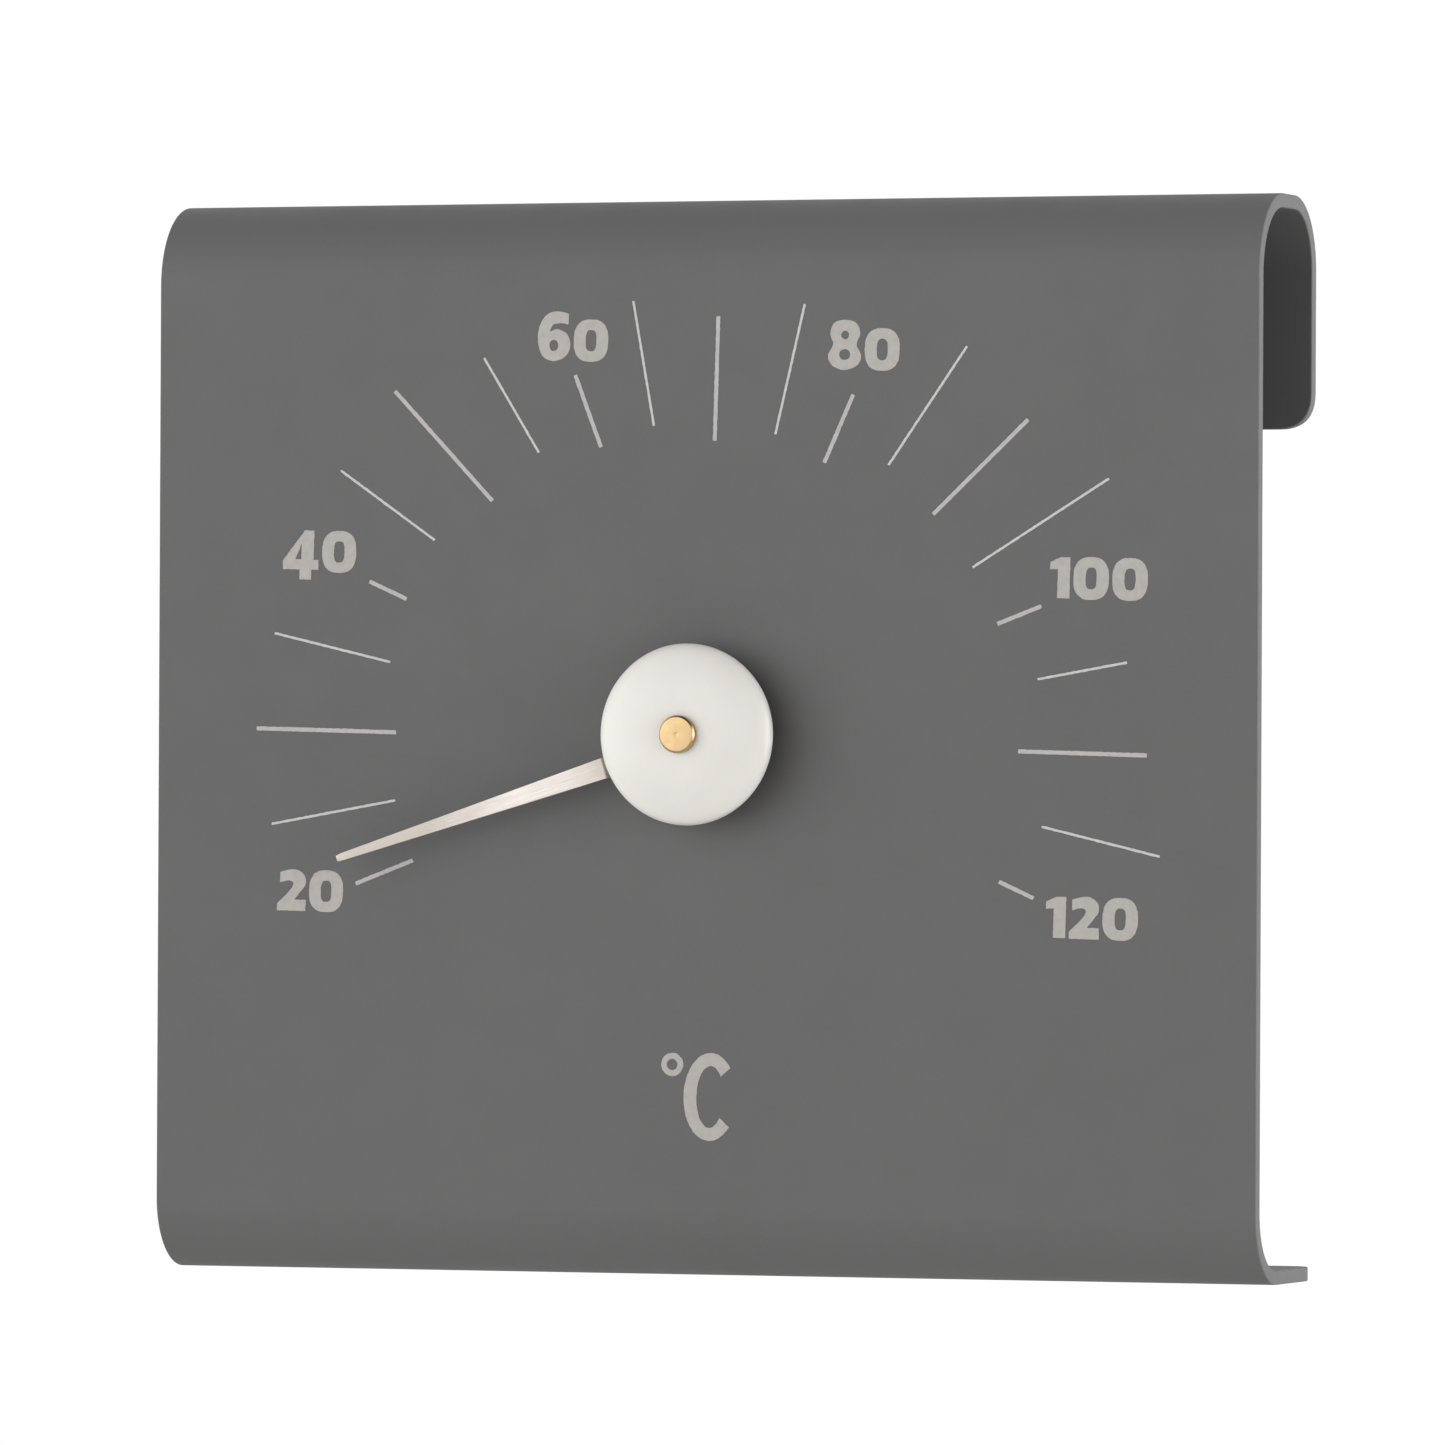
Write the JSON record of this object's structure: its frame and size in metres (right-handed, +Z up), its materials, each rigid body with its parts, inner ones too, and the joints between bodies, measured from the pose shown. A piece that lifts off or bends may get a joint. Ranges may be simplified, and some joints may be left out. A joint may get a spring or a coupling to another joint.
{
  "type": "wall dial thermometer",
  "caption": "Wall-hung bimetal dial thermometer: a bent sheet panel printed with a Celsius scale, a round cap at its centre and a tapered pointer that turns.",
  "frame": {"origin": "centre of the rear flange's flat wall side, on the wall plane y = 0", "axes": "+Z up, +Y into the wall, so the dial faces -Y; +X is to the right as seen from the front"},
  "size_m": [0.162, 0.0364, 0.15],
  "materials": {
    "coated_sheet": "matte",
    "white_cap": "satin",
    "brass": "satin",
    "pointer_metal": "satin",
    "bimetal": "satin",
    "steel": "satin",
    "fibre": "matte"
  },
  "bodies": {
    "panel_body": {"panel": "coated_sheet", "front_washer": "fibre", "spindle_bush": "brass", "rear_washer": "steel", "lock_washer": "steel", "rear_nut": "brass"},
    "spindle_body": {"spindle": "brass", "cap": "white_cap", "cap_washer": "fibre", "coil_arbor": "brass", "bimetal_coil": "bimetal", "coil_pin": "steel", "wave_washer": "steel", "tail_washer": "brass", "retaining_clip": "steel"},
    "pointer_body": {"pointer": "pointer_metal", "pointer_rivet_1": "brass", "pointer_rivet_2": "brass"}
  },
  "joints": [
    {"name": "calibration_turn", "type": "hinge", "parent": "panel_body", "child": "spindle_body", "pos_m": [0, -0.027, -0.0537], "axis": [0, 1, 0], "range_deg": [-20, 20]},
    {"name": "pointer_sweep", "type": "hinge", "parent": "spindle_body", "child": "pointer_body", "pos_m": [0, -0.027, -0.0537], "axis": [0, 1, 0], "range_deg": [-4, 223], "stiffness_Nm_per_rad": 0.0015, "deforming": ["bimetal_coil"]}
  ]
}
